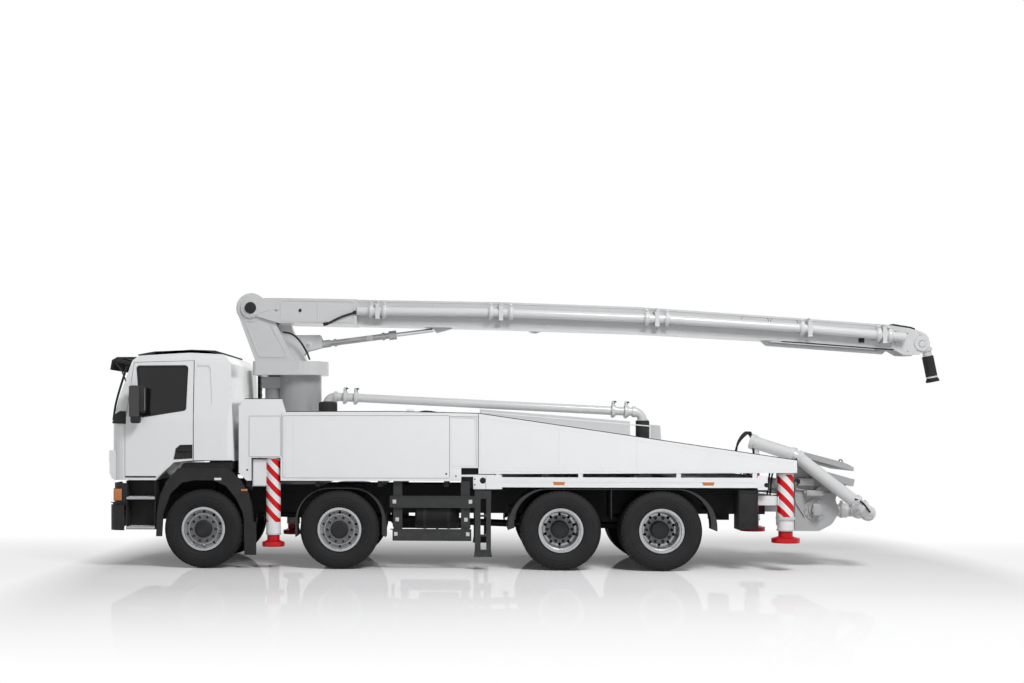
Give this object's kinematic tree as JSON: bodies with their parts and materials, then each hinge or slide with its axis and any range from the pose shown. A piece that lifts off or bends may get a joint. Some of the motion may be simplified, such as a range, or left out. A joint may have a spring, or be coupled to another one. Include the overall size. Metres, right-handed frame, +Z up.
{
  "type": "truck-mounted concrete pump",
  "caption": "Cab-over truck with a folding concrete placing boom on a slewing turret, side outriggers, driven and steered axles and a rear receiving hopper.",
  "frame": {"origin": "middle of the vehicle over its length and width, on the ground under the tyres", "axes": "+X towards the rear, cab towards -X; +Y towards the right side of the vehicle; +Z up"},
  "size_m": [11.818, 2.9, 3.856],
  "materials": {
    "tyre": "matt",
    "wheel_silver": "satin",
    "chassis_black": "satin",
    "dark_grey": "matt",
    "guard_grey": "satin",
    "boom_white": "gloss",
    "panel_white": "gloss",
    "machine_steel": "satin",
    "hopper_grey": "satin",
    "pipe_paint": "gloss",
    "cab_white": "gloss",
    "dark_glass": "polished",
    "cab_plastic": "matt",
    "hose_rubber": "matt",
    "foot_red": "gloss",
    "cylinder_paint": "satin",
    "rod_chrome": "polished"
  },
  "bodies": {
    "chassis": {"frame": "chassis_black", "engine": "chassis_black", "axles": "chassis_black", "tanks": "dark_grey", "front_arches": "dark_grey", "mudguards": "dark_grey", "bumper": "dark_grey", "guards": "guard_grey", "outrigger_box": "boom_white", "side_panels": "panel_white", "wedge_panels": "panel_white", "housing": "boom_white", "pump": "machine_steel", "hopper": "hopper_grey", "delivery_pipe": "pipe_paint", "pedestal": "boom_white"},
    "cab": {"cab_shell": "cab_white", "cab_glass": "dark_glass", "cab_trim": "dark_grey", "cab_interior": "cab_plastic"},
    "left_door": {"door_left": "cab_white", "door_glass_left": "dark_glass"},
    "right_door": {"door_right": "cab_white", "door_glass_right": "dark_glass"},
    "mixer": {"agitator": "machine_steel"},
    "lid": {"hopper_lid": "hopper_grey"},
    "slewing_turret": {"turret": "boom_white"},
    "first_arm": {"boom_1": "boom_white", "boom_1_pipe": "pipe_paint"},
    "second_arm": {"boom_2": "boom_white"},
    "third_arm": {"boom_3": "boom_white", "end_hose": "hose_rubber"},
    "cylinder": {"lift_barrel": "cylinder_paint"},
    "cylinder_rod": {"lift_rod": "rod_chrome"},
    "left_beam": {"beam_left": "boom_white"},
    "right_beam": {"beam_right": "boom_white"},
    "front_left_leg": {"foot_front_left": "foot_red"},
    "front_right_leg": {"foot_front_right": "foot_red"},
    "rear_left_leg": {"foot_rear_left": "foot_red"},
    "rear_right_leg": {"foot_rear_right": "foot_red"},
    "wheel_1l": {"tyre_1l": "tyre", "rim_1l": "wheel_silver"},
    "steering_1l": {"knuckle_1l": "chassis_black"},
    "wheel_1r": {"tyre_1r": "tyre", "rim_1r": "wheel_silver"},
    "steering_1r": {"knuckle_1r": "chassis_black"},
    "wheel_2l": {"tyre_2l": "tyre", "rim_2l": "wheel_silver"},
    "steering_2l": {"knuckle_2l": "chassis_black"},
    "wheel_2r": {"tyre_2r": "tyre", "rim_2r": "wheel_silver"},
    "steering_2r": {"knuckle_2r": "chassis_black"},
    "wheel_3l": {"tyre_3l": "tyre", "rim_3l": "wheel_silver"},
    "wheel_3r": {"tyre_3r": "tyre", "rim_3r": "wheel_silver"},
    "wheel_4l": {"tyre_4l": "tyre", "rim_4l": "wheel_silver"},
    "wheel_4r": {"tyre_4r": "tyre", "rim_4r": "wheel_silver"}
  },
  "joints": [
    {"name": "steer_1l", "type": "hinge", "parent": "chassis", "child": "steering_1l", "pos_m": [-4.543, -1, 0.54], "axis": [0, 0, 1], "range_deg": [-35, 35]},
    {"name": "turn_1l", "type": "hinge", "parent": "steering_1l", "child": "wheel_1l", "pos_m": [-4.543, -1.1, 0.54], "axis": [0, 1, 0], "continuous": true},
    {"name": "steer_1r", "type": "hinge", "parent": "chassis", "child": "steering_1r", "pos_m": [-4.543, 1, 0.54], "axis": [0, 0, 1], "range_deg": [-35, 35]},
    {"name": "turn_1r", "type": "hinge", "parent": "steering_1r", "child": "wheel_1r", "pos_m": [-4.543, 1.1, 0.54], "axis": [0, 1, 0], "continuous": true},
    {"name": "steer_2l", "type": "hinge", "parent": "chassis", "child": "steering_2l", "pos_m": [-2.673, -1, 0.54], "axis": [0, 0, 1], "range_deg": [-26, 26]},
    {"name": "turn_2l", "type": "hinge", "parent": "steering_2l", "child": "wheel_2l", "pos_m": [-2.673, -1.1, 0.54], "axis": [0, 1, 0], "continuous": true},
    {"name": "steer_2r", "type": "hinge", "parent": "chassis", "child": "steering_2r", "pos_m": [-2.673, 1, 0.54], "axis": [0, 0, 1], "range_deg": [-26, 26]},
    {"name": "turn_2r", "type": "hinge", "parent": "steering_2r", "child": "wheel_2r", "pos_m": [-2.673, 1.1, 0.54], "axis": [0, 1, 0], "continuous": true},
    {"name": "turn_3l", "type": "hinge", "parent": "chassis", "child": "wheel_3l", "pos_m": [0.317, -1.1, 0.54], "axis": [0, 1, 0], "continuous": true},
    {"name": "turn_3r", "type": "hinge", "parent": "chassis", "child": "wheel_3r", "pos_m": [0.317, 1.1, 0.54], "axis": [0, 1, 0], "continuous": true},
    {"name": "turn_4l", "type": "hinge", "parent": "chassis", "child": "wheel_4l", "pos_m": [1.657, -1.1, 0.54], "axis": [0, 1, 0], "continuous": true},
    {"name": "turn_4r", "type": "hinge", "parent": "chassis", "child": "wheel_4r", "pos_m": [1.657, 1.1, 0.54], "axis": [0, 1, 0], "continuous": true},
    {"name": "cab_tilt", "type": "hinge", "parent": "chassis", "child": "cab", "pos_m": [-5.748, 0, 1.09], "axis": [0, -1, 0], "range_deg": [0, 55]},
    {"name": "left_door_swing", "type": "hinge", "parent": "cab", "child": "left_door", "pos_m": [-5.623, -1.25, 2], "axis": [0, 0, -1], "range_deg": [0, 70]},
    {"name": "right_door_swing", "type": "hinge", "parent": "cab", "child": "right_door", "pos_m": [-5.623, 1.25, 2], "axis": [0, 0, 1], "range_deg": [0, 70]},
    {"name": "left_beam_out", "type": "slide", "parent": "chassis", "child": "left_beam", "axis": [0, -1, 0], "range_m": [0, 0.75]},
    {"name": "right_beam_out", "type": "slide", "parent": "chassis", "child": "right_beam", "axis": [0, 1, 0], "range_m": [0, 0.75]},
    {"name": "front_left_leg_down", "type": "slide", "parent": "left_beam", "child": "front_left_leg", "axis": [0, 0, -1], "range_m": [0, 0.4]},
    {"name": "front_right_leg_down", "type": "slide", "parent": "right_beam", "child": "front_right_leg", "axis": [0, 0, -1], "range_m": [0, 0.4]},
    {"name": "rear_left_leg_down", "type": "slide", "parent": "chassis", "child": "rear_left_leg", "axis": [0, 0, -1], "range_m": [0, 0.45]},
    {"name": "rear_right_leg_down", "type": "slide", "parent": "chassis", "child": "rear_right_leg", "axis": [0, 0, -1], "range_m": [0, 0.45]},
    {"name": "slew", "type": "hinge", "parent": "chassis", "child": "slewing_turret", "pos_m": [-3.346, 0, 2.66], "axis": [0, 0, 1], "range_deg": [-185, 185]},
    {"name": "first_arm_lift", "type": "hinge", "parent": "slewing_turret", "child": "first_arm", "pos_m": [-4.031, 0, 3.641], "axis": [0, -1, 0], "range_deg": [0, 70]},
    {"name": "second_arm_fold", "type": "hinge", "parent": "first_arm", "child": "second_arm", "pos_m": [5.37091, 0.34, 3.09066], "axis": [0, 1, 0], "range_deg": [0, 180]},
    {"name": "third_arm_fold", "type": "hinge", "parent": "second_arm", "child": "third_arm", "pos_m": [0.06323, 0.73, 3.4525], "axis": [0, -1, 0], "range_deg": [0, 180]},
    {"name": "cylinder_turn", "type": "hinge", "parent": "slewing_turret", "child": "cylinder", "pos_m": [-3.233, 0, 3.105], "axis": [0, -1, 0], "range_deg": [0, 75.5]},
    {"name": "cylinder_stroke", "type": "slide", "parent": "cylinder", "child": "cylinder_rod", "axis": [0.9924, 0, 0.1228], "range_m": [0, 1.085]},
    {"name": "lid_open", "type": "hinge", "parent": "chassis", "child": "lid", "pos_m": [3.612, 0, 1.549], "axis": [0, -1, 0], "range_deg": [0, 90]},
    {"name": "agitator_turn", "type": "hinge", "parent": "chassis", "child": "mixer", "pos_m": [3.822, 0, 0.8], "axis": [0, 1, 0], "continuous": true}
  ],
  "couplings": [
    {"joint": "steer_1r", "follows": "steer_1l", "ratio": 1},
    {"joint": "steer_2l", "follows": "steer_1l", "ratio": 0.7},
    {"joint": "steer_2r", "follows": "steer_1l", "ratio": 0.7},
    {"joint": "cylinder_turn", "follows": "first_arm_lift", "ratio": 1.0749},
    {"joint": "cylinder_stroke", "follows": "first_arm_lift", "m_per_rad": 0.88562}
  ]
}
